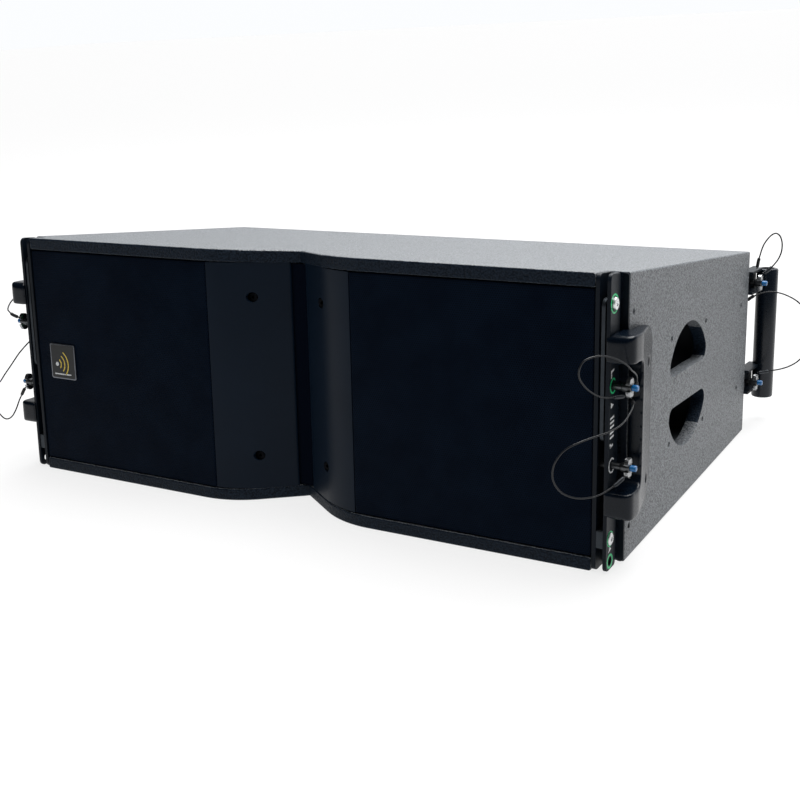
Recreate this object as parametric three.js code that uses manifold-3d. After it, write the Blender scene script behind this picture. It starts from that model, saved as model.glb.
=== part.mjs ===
// Line array speaker: a wedge-shaped two-way cabinet with two woofers behind perforated grilles, a central
// waveguide between two swept fins, and three-point rigging: a link in a slotted channel at each front corner
// and one behind each rear corner, held by ball-lock pins on wire lanyards.
//
// The pieces are drawn in the cabinet's own frame: X to the right, Y to the back, Z up, with Y = 0 on the
// front plane and Z = 0 at mid-height. The whole is then tilted so that it stands on its bottom panel.
import * as THREE from "three";
import { mergeVertices } from "three/addons/utils/BufferGeometryUtils.js";
import Module from "manifold-3d";

const wasm = await Module();
wasm.setup();

// ---- Driving dimensions, in millimetres ----
const WIDTH = 800; // across the plywood sides
const FRONT_HEIGHT = 300;
const DEPTH = 459;
const WEDGE = THREE.MathUtils.degToRad(4.25); // slope of the top panel, and of the bottom panel
const PLY = 15;
const LIP = 14; // top and bottom panels
const GAP = 0.3; // left between pieces that touch
const FRONT_WIDTH = 755; // across the grilles, between the front channels
const CORNER_DEPTH = 33; // depth of the notch that holds each front channel

const VEE_DEPTH = 52; // how far the front falls back at the centre
const VEE_HALF_WIDTH = 115;
const VEE_SLOPE = 0.68;
const VEE_RADIUS = 120; // bend between the flat front and the sloping one
const FIN_OUTER = 97.5;
const FIN_INNER = 10;
const FIN_THICKNESS = 3.5;

const WOOFER_X = 237.5;
const HOLE_Y = 10; // depth of the front rigging holes
const FRONT_PIN_Z = 40;
const LINK_TRAVEL = 43.5;
const REAR_PIN_Y = 472;
const REAR_PIN_Z = [-54, 75]; // lower, upper
const REAR_LINK_TRAVEL = 40;

const SLOT = [382.3, 389.6]; // X range of the slot that each link slides in
const PLATE = 4;
const OUTER_FACE = SLOT[1] + PLATE;
const PIN_RADIUS = 3.5;
const WIRE_RADIUS = 0.9;

const roof = (y) => FRONT_HEIGHT / 2 - y * Math.tan(WEDGE); // half the cabinet's height at depth y

// ---- Solids ----
function toSolid(geometry) {
  const plain = geometry.index ? geometry.toNonIndexed() : geometry;
  const merged = mergeVertices(
    new THREE.BufferGeometry().setAttribute("position", plain.getAttribute("position")),
    1e-4,
  );
  return new wasm.Manifold(
    new wasm.Mesh({
      numProp: 3,
      vertProperties: merged.attributes.position.array,
      triVerts: new Uint32Array(merged.index.array),
    }),
  );
}

function toGeometry(solid) {
  const { vertProperties, triVerts } = solid.getMesh();
  const geometry = new THREE.BufferGeometry()
    .setAttribute("position", new THREE.BufferAttribute(vertProperties, 3))
    .setIndex(new THREE.BufferAttribute(triVerts, 1))
    .toNonIndexed();
  geometry.computeVertexNormals();
  return geometry;
}

const join = (...solids) => solids.reduce((whole, piece) => whole.add(piece));
const cut = (body, ...tools) => tools.reduce((rest, tool) => rest.subtract(tool), body);

// A closed outline from corners [a, b, radius]; a corner with a radius is rounded.
function outline(corners, steps = 4) {
  const shape = new THREE.Shape();
  corners.forEach(([a, b, radius = 0], i) => {
    const corner = new THREE.Vector2(a, b);
    const towards = (other) =>
      new THREE.Vector2(other[0], other[1]).sub(corner).setLength(radius).add(corner);
    const start = towards(corners.at(i - 1));
    const end = towards(corners[(i + 1) % corners.length]);
    if (i === 0) shape.moveTo(start.x, start.y);
    else shape.lineTo(start.x, start.y);
    if (radius > 0) shape.quadraticCurveTo(a, b, end.x, end.y);
  });
  shape.userData = { steps };
  return shape;
}

const rectangle = (a0, b0, a1, b1, radius = 0) =>
  outline([
    [a0, b0, radius],
    [a1, b0, radius],
    [a1, b1, radius],
    [a0, b1, radius],
  ]);

// A side view between depths y0 and y1 that tapers with the wedge, less an inset at top and bottom.
const tapered = (y0, y1, inset, frontRadius = 0, backRadius = 0) =>
  outline([
    [y0, inset - roof(y0), frontRadius],
    [y1, inset - roof(y1), backRadius],
    [y1, roof(y1) - inset, backRadius],
    [y0, roof(y0) - inset, frontRadius],
  ]);

function extrude(shape, depth) {
  const curveSegments = shape.userData?.steps ?? 12;
  return new THREE.ExtrudeGeometry(shape, { depth, bevelEnabled: false, curveSegments });
}

// An (x, y) outline run up Z; a (y, z) outline run along X; an (x, z) outline run along Y.
const prismZ = (shape, z0, z1) => toSolid(extrude(shape, z1 - z0).translate(0, 0, z0));
const X_RUN = new THREE.Matrix4().set(0, 0, 1, 0, 1, 0, 0, 0, 0, 1, 0, 0, 0, 0, 0, 1);
const prismX = (shape, x0, x1) => toSolid(extrude(shape, x1 - x0).applyMatrix4(X_RUN).translate(x0, 0, 0));
const prismY = (shape, y0, y1) => toSolid(extrude(shape, y1 - y0).rotateX(Math.PI / 2).translate(0, y1, 0));

function box(x0, x1, y0, y1, z0, z1) {
  const geometry = new THREE.BoxGeometry(x1 - x0, y1 - y0, z1 - z0);
  return toSolid(geometry.translate((x0 + x1) / 2, (y0 + y1) / 2, (z0 + z1) / 2));
}

function rod(radius, from, to, sides = 12) {
  const start = new THREE.Vector3(...from);
  const along = new THREE.Vector3(...to).sub(start);
  const geometry = new THREE.CylinderGeometry(radius, radius, along.length(), sides);
  geometry.translate(0, along.length() / 2, 0);
  const up = new THREE.Vector3(0, 1, 0);
  const turn = new THREE.Quaternion().setFromUnitVectors(up, along.clone().normalize());
  return toSolid(geometry.applyQuaternion(turn).translate(...from));
}

// A [radius, y] profile turned about the Y axis.
function turned(profile, sides) {
  const points = profile.map(([radius, y]) => new THREE.Vector2(radius, y));
  return toSolid(new THREE.LatheGeometry(points, sides));
}

// The whole width of the wedge between the top and bottom, less a margin on each.
const wedge = (margin) => prismX(tapered(-5, DEPTH + 5, margin), -WIDTH, WIDTH);

// ---- Materials ----
const finish = (color, roughness, metalness) =>
  new THREE.MeshStandardMaterial({ color, roughness, metalness });
const coating = () => finish(0x4a4d50, 0.75, 0);
const blackSteel = () => finish(0x14181d, 0.5, 0.5);
const moulding = () => finish(0x1b1f24, 0.45, 0);
const perforated = () => finish(0x0b1019, 0.6, 0.4);
const brightSteel = () => finish(0xb4b8bd, 0.3, 1);
const innerBoard = () => finish(0x2a2622, 0.85, 0);

function piece(parent, name, shape, material) {
  const geometry = shape.isBufferGeometry ? shape : toGeometry(shape);
  const mesh = new THREE.Mesh(geometry, material);
  mesh.name = name;
  parent.add(mesh);
  return mesh;
}

// ---- The front's outline in plan ----
// Depth of the front at x: flat, then a bend, then a straight slope down to the centre.
function frontDepth(x) {
  const inward = VEE_HALF_WIDTH - Math.abs(x);
  if (inward <= 0) return 0;
  const bendEnd = VEE_RADIUS * Math.sin(Math.atan(VEE_SLOPE));
  if (inward < bendEnd) return VEE_RADIUS - Math.sqrt(VEE_RADIUS ** 2 - inward ** 2);
  return VEE_DEPTH - VEE_SLOPE * Math.abs(x);
}

// Points along the front from x0 to x1, moved back by an offset.
function frontLine(x0, x1, offset, steps) {
  return Array.from({ length: steps + 1 }, (_, i) => {
    const x = THREE.MathUtils.lerp(x0, x1, i / steps);
    return [x, frontDepth(x) + offset];
  });
}

// ---- Cabinet ----
function capPanel(sign) {
  const half = FRONT_WIDTH / 2;
  const plan = outline([
    ...frontLine(-VEE_HALF_WIDTH, VEE_HALF_WIDTH, 0, 16),
    [half, 0, 3],
    [half, CORNER_DEPTH],
    [WIDTH / 2, CORNER_DEPTH, 2],
    [WIDTH / 2, DEPTH, 4],
    [-WIDTH / 2, DEPTH, 4],
    [-WIDTH / 2, CORNER_DEPTH, 2],
    [-half, CORNER_DEPTH],
    [-half, 0, 3],
  ]);
  const slab = prismZ(plan, Math.min(0, sign * FRONT_HEIGHT), Math.max(0, sign * FRONT_HEIGHT));
  return cut(slab.intersect(wedge(0)), wedge(LIP));
}

// A hand hole is the upper or lower segment of one circle, cut off by a straight bar of the board and with
// its two sharp corners rounded.
const HANDLE = { y: 223, z: -2.5, radius: 70, bar: 17.5, corner: 12 };
function handHole(sign) {
  const { y, z, radius, bar, corner } = HANDLE;
  const shape = new THREE.Shape();
  const reach = Math.sqrt((radius - corner) ** 2 - (bar + corner) ** 2);
  const tangent = Math.atan2(bar + corner, reach);
  const middle = z + sign * (bar + corner);
  const clockwise = sign < 0;
  shape.moveTo(y - reach, z + sign * bar);
  shape.lineTo(y + reach, z + sign * bar);
  shape.absarc(y + reach, middle, corner, (-sign * Math.PI) / 2, sign * tangent, clockwise);
  shape.absarc(y, z, radius, sign * tangent, sign * (Math.PI - tangent), clockwise);
  shape.absarc(y - reach, middle, corner, sign * (Math.PI - tangent), sign * 1.5 * Math.PI, clockwise);
  shape.userData = { steps: 8 };
  return shape;
}

function sidePanel() {
  const cheek = FRONT_WIDTH / 2 - GAP;
  const plan = outline([
    [cheek - PLY, 14.5],
    [cheek, 14.5],
    [cheek, CORNER_DEPTH],
    [WIDTH / 2, CORNER_DEPTH, 2],
    [WIDTH / 2, DEPTH, 4],
    [WIDTH / 2 - PLY, DEPTH],
    [WIDTH / 2 - PLY, CORNER_DEPTH + PLY],
    [cheek - PLY, CORNER_DEPTH + PLY],
  ]);
  const board = prismZ(plan, -FRONT_HEIGHT / 2, FRONT_HEIGHT / 2).intersect(wedge(LIP + GAP));
  const holes = [-1, 1].map((sign) => prismX(handHole(sign), WIDTH / 2 - 2 * PLY, WIDTH / 2 + PLY));
  return cut(board, ...holes);
}

function handleCup() {
  const { y, z, radius } = HANDLE;
  const back = WIDTH / 2 - PLY - GAP;
  const square = (half) => rectangle(y - half, z - half, y + half, z + half);
  return cut(prismX(square(radius + 6), back - 66, back), prismX(square(radius + 2), back - 62, back + 5));
}

function rearPanel() {
  const half = WIDTH / 2 - PLY - GAP;
  const board = box(-half, half, DEPTH - PLY, DEPTH, -FRONT_HEIGHT / 2, FRONT_HEIGHT / 2);
  return cut(board.intersect(wedge(LIP + GAP)), box(-60, 60, DEPTH - 2 * PLY, DEPTH + PLY, -35, 35));
}

function frontBaffle() {
  const half = FRONT_WIDTH / 2 - GAP - PLY - GAP;
  const plan = outline([
    [-half, 24],
    [-118, 24],
    [-72, 62],
    [72, 62],
    [118, 24],
    [half, 24],
    [half, 42],
    [127, 42],
    [80, 80],
    [-80, 80],
    [-127, 42],
    [-half, 42],
  ]);
  const board = prismZ(plan, -FRONT_HEIGHT / 2, FRONT_HEIGHT / 2).intersect(wedge(LIP + GAP));
  const opening = (x) => rod(113, [x, 20, 0], [x, 50, 0], 24);
  const openings = [opening(-WOOFER_X), opening(WOOFER_X)];
  return cut(board, ...openings, box(-12, 12, 55, 90, -128, 128));
}

function connectorPlate() {
  const plate = prismY(rectangle(-75, -50, 75, 50, 8), DEPTH + GAP, DEPTH + 2.8);
  const holes = [-30, 30].map((x) => rod(13, [x, DEPTH - 5, 0], [x, DEPTH + 9, 0]));
  return cut(plate, ...holes);
}

function connector() {
  const face = DEPTH + 3.1;
  const shell = [[0, DEPTH - 18], [12, DEPTH - 18], [12, face], [15, face], [15, face + 3], [9, face + 3]];
  const core = [[9, DEPTH - 12], [4, DEPTH - 12], [4, face], [0, face]];
  return turned([...shell, ...core], 16);
}

function buildCabinet(parent) {
  piece(parent, "top_panel", capPanel(1), coating());
  piece(parent, "bottom_panel", capPanel(-1), coating());
  piece(parent, "rear_panel", rearPanel(), coating());
  piece(parent, "front_baffle", frontBaffle(), innerBoard());
  piece(parent, "connector_plate", connectorPlate(), blackSteel());
  piece(parent, "input_connector", connector(), moulding()).position.x = -30;
  piece(parent, "link_connector", connector(), moulding()).position.x = 30;
}

// ---- Front: grilles, fins, badge ----
const GRILLE = { inner: 98.1, outer: 376.9, half: 134.7, front: 1.5, back: 12, sheet: 1.5 };
function grille() {
  const { inner, outer, half, front, back, sheet } = GRILLE;
  const tray = box(inner, outer, front, back, -half, half);
  return cut(tray, box(inner + sheet, outer - sheet, front + sheet, back + 5, sheet - half, half - sheet));
}

function fin() {
  const plan = outline([
    ...frontLine(FIN_INNER, FIN_OUTER, 1, 12),
    ...frontLine(FIN_INNER, FIN_OUTER, 1 + FIN_THICKNESS, 12).reverse(),
  ]);
  const screws = [-94, 94].map((z) => rod(4, [47.5 - 20, -10, z], [47.5 + 20, 50, z]));
  return cut(prismZ(plan, -GRILLE.half, GRILLE.half).intersect(wedge(LIP + GAP)), ...screws);
}

// ---- Drivers ----
function wooferFrame() {
  const profile = [
    [0, 98], [40, 98], [103, 45], [109, 17], [124, 17], [124, 23.7],
    [112.5, 23.7], [107, 50], [78, 102], [78, 145], [0, 145],
  ];
  return turned(profile, 24);
}

function wooferCone() {
  const profile = [
    [0, 46], [20, 50], [36, 61], [95, 22], [99.5, 18], [104, 21],
    [104, 23], [99.5, 21], [96, 25], [37, 65], [20, 54], [0, 50],
  ];
  return turned(profile, 24);
}

function waveguide() {
  const horn = prismX(outline([[52, -124], [52, 124], [190, 30], [190, -30]].reverse()), -11, 11);
  const flange = box(-40, 40, 52, 58, -131, 131);
  const mouth = prismX(outline([[50, -121], [50, 121], [182, 18], [182, -18]].reverse()), -8, 8);
  return cut(join(horn, flange, rod(38, [0, 184, 0], [0, 196, 0], 24)), mouth);
}

function hornDriver() {
  return turned([[0, 196.3], [40, 196.3], [62, 204], [62, 248], [54, 256], [0, 256]], 24);
}

// ---- Ball-lock pins: along +X, with X = 0 on the face that they lock against ----
const PIN = { tip: -16, hub: 11, wing: [15, 19], end: 19.4, bore: 15.5, button: 25.6 };
const WING_CORNERS = [[-6, -4], [-2, -10.5], [2, -10.5], [6, -4], [6, 4], [2, 10.5], [-2, 10.5], [-6, 4]];
function pinBody() {
  const { tip, hub, wing, end, bore } = PIN;
  const shaft = rod(PIN_RADIUS, [tip, 0, 0], [hub + 2, 0, 0]);
  const wings = outline(WING_CORNERS.map(([y, z]) => [y, z, 2]), 2);
  const head = join(rod(5.8, [hub, 0, 0], [end, 0, 0]), prismX(wings, ...wing));
  const buttonBore = rod(4.2, [bore, 0, 0], [end + 2, 0, 0]);
  const spindleBore = rod(2.1, [2, 0, 0], [bore + 1, 0, 0], 8);
  return cut(join(shaft, head), buttonBore, spindleBore);
}

const pinButton = () =>
  join(rod(3.8, [PIN.end + 0.3, 0, 0], [PIN.button, 0, 0]), rod(1.7, [6.5, 0, 0], [PIN.end + 1, 0, 0], 8));

function buildPin(parent, name, side, y, z) {
  const holder = new THREE.Group();
  holder.position.set(OUTER_FACE, y, z);
  parent.add(holder);
  piece(holder, `${name}_pin_${side}`, pinBody(), brightSteel());
  piece(holder, `${name}_button_${side}`, pinButton(), finish(0x1d6f9c, 0.4, 0));
}

// ---- Front rigging ----
function frontChannel() {
  const inner = FRONT_WIDTH / 2 + GAP;
  const plate = prismX(tapered(0.5, 32, 0.5, 8), inner, SLOT[0]);
  const web = prismX(tapered(26, 32, 1), SLOT[0] - 1, SLOT[1] - GAP);
  const stop = box(SLOT[0] - 1, SLOT[1] - GAP, 1, 27, -125, -106);
  const hole = (z) => rod(PIN_RADIUS + 0.4, [370, HOLE_Y, z], [385, HOLE_Y, z]);
  return cut(join(plate, web, stop), hole(-FRONT_PIN_Z), hole(FRONT_PIN_Z));
}

function frontOuterPlate() {
  const hole = (z, radius) => rod(radius, [380, HOLE_Y, z], [400, HOLE_Y, z]);
  const bolt = (z, height) => rod(6.5, [OUTER_FACE - 1, HOLE_Y, z], [OUTER_FACE + height, HOLE_Y, z]);
  const plate = join(prismX(tapered(0, 25, 0.5, 8, 4), SLOT[1], OUTER_FACE), bolt(120, 3), bolt(-116, 2));
  return cut(plate, hole(FRONT_PIN_Z, 3.9), hole(-FRONT_PIN_Z, 3.9), hole(-139.5, 4.5));
}

// A flat bar with round ends, an eye near its top and a long slot for the pin that it slides past.
function slottedBar(y0, y1, z0, z1, eyeZ, slotZ0, slotZ1) {
  const middle = (y0 + y1) / 2;
  const radius = (y1 - y0) / 2;
  const slotHalf = PIN_RADIUS + 0.7;
  const slot = rectangle(middle - slotHalf, slotZ0, middle + slotHalf, slotZ1, 4);
  const [x0, x1] = [SLOT[0] + 1.7, SLOT[1] - 1.6];
  const eye = rod(4.5, [x0 - 1, middle, eyeZ], [x1 + 1, middle, eyeZ]);
  return cut(prismX(rectangle(y0, z0, y1, z1, radius), x0, x1), prismX(slot, x0 - 1, x1 + 1), eye);
}

function frontLink() {
  const slot = [FRONT_PIN_Z - LINK_TRAVEL - 5, FRONT_PIN_Z + 5];
  return slottedBar(HOLE_Y - 9, HOLE_Y + 9, -16, 125.5, 117, ...slot);
}

// The moulded guard wraps the channel's front edge above and below the pins, and bolts to the side panel.
const GUARD = { front: -3, back: 95, half: 92, window: 64, windowBack: 33 };
function pinGuard() {
  const { front, back, half, window, windowBack } = GUARD;
  const wall = WIDTH / 2 + GAP;
  const lip = SLOT[1] + GAP;
  const side = outline([
    [front, -half, 6], [back, -half, 32], [back, half, 32], [front, half, 6],
    [front, window, 3], [windowBack, window, 14], [windowBack, -window, 14], [front, -window, 3],
  ]);
  const plan = outline([
    [lip, front, 1], [411, 0.5, 3], [417, 5, 3], [418.5, 12, 2], [418.5, 22, 3], [415.5, 36, 4],
    [403.5, 92, 2], [wall, back], [wall, CORNER_DEPTH - 0.4], [OUTER_FACE + 0.4, CORNER_DEPTH - 0.4],
    [OUTER_FACE + 0.4, -0.4], [lip, -0.4],
  ]);
  const body = prismX(side, lip - 1, 420).intersect(prismZ(plan, -half - 1, half + 1));
  const screw = (z) => rod(4.5, [403.5, 68, z], [425, 68, z]);
  return cut(body, screw(54), screw(-68));
}

// ---- Rear rigging ----
const GRIP = { x: 408, y: 516, radius: 13.5, z: [-82, 88] };
const REAR_FACE = DEPTH + GAP;
function rearArm(z0, z1) {
  const y = [REAR_FACE, GRIP.y];
  return join(
    box(SLOT[1], OUTER_FACE, ...y, z0, z1),
    box(SLOT[1], 404.5, ...y, z1 - 3, z1),
    box(SLOT[1], 404.5, ...y, z0, z0 + 3),
  );
}

function rearBracket() {
  const base = box(330, 398, REAR_FACE, REAR_FACE + 4, -90, 98);
  const cheekSide = outline([[REAR_FACE, -78], [500, -78, 8], [500, 96, 8], [REAR_FACE, 96]]);
  const cheek = prismX(cheekSide, SLOT[0] - PLATE, SLOT[0]);
  const stop = box(SLOT[0] - 1, SLOT[1] + 1, REAR_FACE, 492, -78, -68);
  const arms = join(rearArm(-68, -37), rearArm(61, 90));
  const hole = (z) => rod(PIN_RADIUS + 0.4, [370, REAR_PIN_Y, z], [400, REAR_PIN_Y, z]);
  const slotTop = box(SLOT[0], SLOT[1], REAR_FACE + 4, 492, 50, 110);
  const saddle = rod(GRIP.radius + GAP, [GRIP.x, GRIP.y, -200], [GRIP.x, GRIP.y, 200], 24);
  return cut(join(base, cheek, stop, arms), slotTop, saddle, ...REAR_PIN_Z.map(hole));
}

function rearGrip() {
  const { radius, z } = GRIP;
  const [low, high] = z;
  const edge = [[radius - 3, low], [radius, low + 3], [radius, high - 2], [radius - 2, high]];
  return turned([[0, low], ...edge, [0, high]], 24);
}

function rearLink() {
  const slot = [REAR_PIN_Z[1] - REAR_LINK_TRAVEL - 5, REAR_PIN_Z[1] + 4.5];
  return slottedBar(REAR_PIN_Y - 8, REAR_PIN_Y + 8, -38, 97, 89, ...slot);
}

// ---- Lanyards: springy steel wire from an anchor to the head of its pin ----
const LANYARDS = {
  front_upper_right: [
    [408, 31.5, 30], [409, 29, 34], [411, 26, 41], [413.6, 20, 48.5], [415.2, 10, 54.5],
    [416, 2, 58], [416.2, -4, 61], [415.8, -9, 64.6], [413.6, -17, 70], [410.5, -25, 74.3],
    [406.5, -33, 77.8], [401.4, -44, 80.6], [396, -54, 80.3], [391, -60, 77], [388.1, -62, 69],
    [387.5, -58, 59.6], [390.6, -46, 47.8], [395.4, -28, 37.8], [401, -12, 34.2], [406, -3, 33.4],
    [409.5, 2.4, 33.4],
  ],
  front_lower_right: [
    [405, 31.5, 22], [407, 27, 22.2], [410, 21, 22.2], [412.6, 14, 22.2], [415, 4, 20.6],
    [415.6, -6, 17], [414.6, -20, 11.9], [409, -36, 7.8], [400.6, -52, 5.8], [391.7, -66, 3],
    [380.4, -74, -3.8], [372.4, -76, -14.9], [368.1, -74, -26.7], [368, -70, -38.5], [372.7, -62, -50],
    [380.8, -50, -57.3], [388.3, -36, -60.3], [396, -22, -59.5], [403.5, -9, -54.2], [408, -2, -49.5],
    [410, 2.2, -46.5],
  ],
  front_upper_left: [
    [-410, 2.4, 46], [-414, 1, 47.5], [-420, 0.5, 49.5], [-426.5, 2, 52], [-432.5, 5, 54],
    [-436.5, 10, 57.5], [-438.4, 16, 62], [-439.2, 23, 66], [-438, 32, 71], [-434, 42, 75],
    [-428, 54, 76], [-421, 66, 74], [-414, 78, 69], [-408, 90, 62], [-404, 99, 55],
    [-401.6, 106, 48],
  ],
  front_lower_left: [
    [-410, 2.4, -46], [-413, 1.5, -50.5], [-417.5, 1.5, -57], [-423.5, 2, -65], [-429, 2, -74.5],
    [-434.5, 2, -82.6], [-441, 2, -89.5], [-448.7, 2, -93.4], [-457, 3, -93.6], [-464.5, 4, -90.2],
    [-473.5, 5, -83.8], [-481.6, 6, -75.6], [-485.5, 8, -66.5], [-484.5, 9, -59], [-478, 10.5, -52],
    [-469.1, 12, -47.2], [-461, 14.5, -36.5], [-452.8, 17, -26.2], [-445, 20, -15.5], [-437.9, 23, -6],
    [-424.5, 28, 8], [-414, 31, 15.5], [-407, 31.5, 19.5],
  ],
  rear_upper_right: [
    [402.4, 484, 91.3], [403.2, 484, 96], [404.2, 483.5, 102], [406, 483.5, 109.5], [408, 484, 117.5],
    [410.6, 486, 124.5], [415.5, 488, 131.8], [420, 489, 135.6], [424, 489.5, 136.2], [428, 490, 133],
    [430.4, 490, 127], [431.4, 489, 120.5], [430.9, 488, 113], [428.4, 486, 105], [424.6, 483, 98.5],
    [420, 480.5, 92.8], [415.6, 478, 88.5], [412, 476, 86.8],
  ],
  rear_upper_left: [
    [-402.4, 484, 91.3], [-403.5, 484.5, 94.5], [-406.5, 486, 98], [-411.5, 488.5, 101], [-418, 491, 103],
    [-425, 493, 103.2], [-431.5, 494, 100.5], [-435.5, 493.5, 95.5], [-436.5, 492, 90], [-434.5, 489.5, 86],
    [-430, 486.5, 84.5], [-425, 483.5, 85.2], [-420, 480.5, 86.3], [-415.6, 478, 87], [-412, 476, 86.8],
  ],
  rear_lower_right: [
    [396, 466, 52], [398, 471, 54], [400.5, 476, 56], [404.6, 481, 58], [409, 484, 60],
    [413.8, 486, 61.4], [419.5, 488, 62], [426, 489, 61.8], [435, 490, 60], [444.5, 490, 56.6],
    [453, 490, 52], [461.5, 490, 44.5], [468, 490, 35], [472.5, 490, 24], [473.5, 490, 11],
    [471, 489, -2.5], [466, 487.5, -15], [459, 486, -24.5], [449, 484, -31.6], [438.3, 482, -36],
    [428, 480, -38.5], [420, 478, -40.5], [415, 476.5, -41.6], [411.5, 475, -41.8],
  ],
};
LANYARDS.rear_lower_left = LANYARDS.rear_lower_right.map(([x, y, z]) => [-x, y, z]);

function lanyard(points) {
  const section = new THREE.Shape().absarc(0, 0, WIRE_RADIUS, 0, 2 * Math.PI);
  const route = new THREE.CatmullRomCurve3(points.map((point) => new THREE.Vector3(...point)));
  return new THREE.ExtrudeGeometry(section, {
    steps: Math.round(1.4 * points.length),
    curveSegments: 4,
    extrudePath: route,
  });
}

function buildLanyards(parent) {
  for (const [name, points] of Object.entries(LANYARDS)) {
    const [end, level, side] = name.split("_");
    piece(parent, `${end}_${level}_lanyard_${side}`, lanyard(points), finish(0x202226, 0.4, 0.5));
  }
}

// ---- One side of the cabinet, drawn on the right; the left is its mirror image ----
function buildSide(parent, side) {
  const group = new THREE.Group();
  if (side === "left") group.scale.x = -1;
  parent.add(group);
  piece(group, `side_panel_${side}`, sidePanel(), coating());
  piece(group, `handle_cup_${side}`, handleCup(), moulding());
  piece(group, `grille_${side}`, grille(), perforated());
  piece(group, `fin_${side}`, fin(), finish(0x1b2430, 0.45, 0.2));
  piece(group, `woofer_frame_${side}`, wooferFrame(), blackSteel()).position.x = WOOFER_X;
  piece(group, `woofer_cone_${side}`, wooferCone(), finish(0x16161a, 0.8, 0)).position.x = WOOFER_X;
  piece(group, `front_channel_${side}`, frontChannel(), blackSteel());
  piece(group, `front_outer_plate_${side}`, frontOuterPlate(), blackSteel());
  piece(group, `front_link_${side}`, frontLink(), finish(0x3a3f45, 0.4, 0.8));
  piece(group, `pin_guard_${side}`, pinGuard(), moulding());
  piece(group, `rear_bracket_${side}`, rearBracket(), blackSteel());
  piece(group, `rear_link_${side}`, rearLink(), finish(0x3a3f45, 0.4, 0.8));
  const grip = piece(group, `rear_grip_${side}`, rearGrip(), blackSteel());
  grip.rotation.x = Math.PI / 2;
  grip.position.set(GRIP.x, GRIP.y, 0);
  buildPin(group, "front_upper", side, HOLE_Y, FRONT_PIN_Z);
  buildPin(group, "front_lower", side, HOLE_Y, -FRONT_PIN_Z);
  buildPin(group, "rear_upper", side, REAR_PIN_Y, REAR_PIN_Z[1]);
  buildPin(group, "rear_lower", side, REAR_PIN_Y, REAR_PIN_Z[0]);
}

// ---- The whole speaker ----
const speaker = new THREE.Group();
const cabinetFrame = new THREE.Group();
speaker.add(cabinetFrame);
buildCabinet(cabinetFrame);
buildSide(cabinetFrame, "right");
buildSide(cabinetFrame, "left");
piece(cabinetFrame, "waveguide", waveguide(), moulding());
piece(cabinetFrame, "horn_driver", hornDriver(), blackSteel());
const badge = prismY(rectangle(-356, -27, -314, 18, 3), -0.3, GRILLE.front - GAP);
piece(cabinetFrame, "badge_plate", badge, finish(0x30343a, 0.35, 0.6));

// Stand the speaker on its bottom panel, over the middle of its footprint. The lanyards don't count.
cabinetFrame.rotation.x = -WEDGE;
cabinetFrame.updateMatrixWorld(true);
const bounds = new THREE.Box3();
cabinetFrame.traverse((part) => {
  if (part.isMesh) bounds.expandByObject(part, true);
});
const middle = bounds.getCenter(new THREE.Vector3());
cabinetFrame.position.set(-middle.x, -middle.y, -bounds.min.z);
buildLanyards(cabinetFrame);

export default speaker;
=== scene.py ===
"""Looks of the line array speaker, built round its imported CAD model.

Shapes are written in millimetres in the cabinet's own frame: X to the right, Y to the back and Z up, with
Y = 0 on the front plane and Z = 0 at mid-height. One matrix takes them to the frame's metres. Shapes of a
side are drawn on the right and mirrored for the left.
"""

import math
from itertools import pairwise

import bmesh
import bpy
from mathutils import Matrix, Vector


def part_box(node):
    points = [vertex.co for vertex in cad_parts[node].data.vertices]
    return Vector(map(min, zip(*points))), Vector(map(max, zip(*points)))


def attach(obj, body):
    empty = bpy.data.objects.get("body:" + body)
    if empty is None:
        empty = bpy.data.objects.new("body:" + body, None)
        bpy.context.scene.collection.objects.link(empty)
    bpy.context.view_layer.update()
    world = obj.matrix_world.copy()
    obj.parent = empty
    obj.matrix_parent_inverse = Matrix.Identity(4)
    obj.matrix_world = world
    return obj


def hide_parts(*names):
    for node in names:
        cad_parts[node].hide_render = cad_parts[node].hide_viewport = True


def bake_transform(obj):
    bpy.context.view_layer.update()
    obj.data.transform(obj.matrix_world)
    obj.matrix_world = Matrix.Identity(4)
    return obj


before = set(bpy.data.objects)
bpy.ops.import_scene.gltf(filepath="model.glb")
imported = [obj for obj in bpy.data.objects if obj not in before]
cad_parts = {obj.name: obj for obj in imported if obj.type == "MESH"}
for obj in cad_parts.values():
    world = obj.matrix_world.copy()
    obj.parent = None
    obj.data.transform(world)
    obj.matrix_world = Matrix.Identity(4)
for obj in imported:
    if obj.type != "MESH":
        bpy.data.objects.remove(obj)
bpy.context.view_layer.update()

# ---- Driving dimensions, in millimetres, as in the CAD ----
WEDGE = math.radians(4.25)
WIDTH = 800
HEIGHT = 300
DEPTH = 459
PLY = 15
LIP = 14
FRONT_WIDTH = 755
CORNER_DEPTH = 33
VEE_HALF_WIDTH = 115
VEE_SLOPE = 0.68
VEE_RADIUS = 120
SLOT = (382.3, 389.6)
OUTER_FACE = 393.6
HOLE_Y = 10
HOLE_RADIUS = 3.9
FRONT_PIN_Z = 40
PLATE_BOLT_Z = (120, -116)
PARKING_HOLE_Z = -139.5
REAR_PIN_Y = 472
REAR_PIN_Z = (-54, 75)
SIDES = {"right": 1, "left": -1}


def roof(y):
    """Half the cabinet's height at depth y."""
    return HEIGHT / 2 - y * math.tan(WEDGE)


# ---- The cabinet's frame ----
def cabinet_matrix():
    """Millimetres in the cabinet's frame to the frame's metres. The badge plate's place fixes where it is."""
    low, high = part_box("badge_plate")
    badge_middle = Vector((-335, 0.45, -4.5)) * 0.001
    turn = Matrix.Rotation(-WEDGE, 4, "X")
    move = Matrix.Translation((low + high) / 2 - turn @ badge_middle)
    return move @ turn @ Matrix.Scale(0.001, 4)


CABINET = cabinet_matrix()


def to_row(point):
    return CABINET @ Vector(point)


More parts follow.
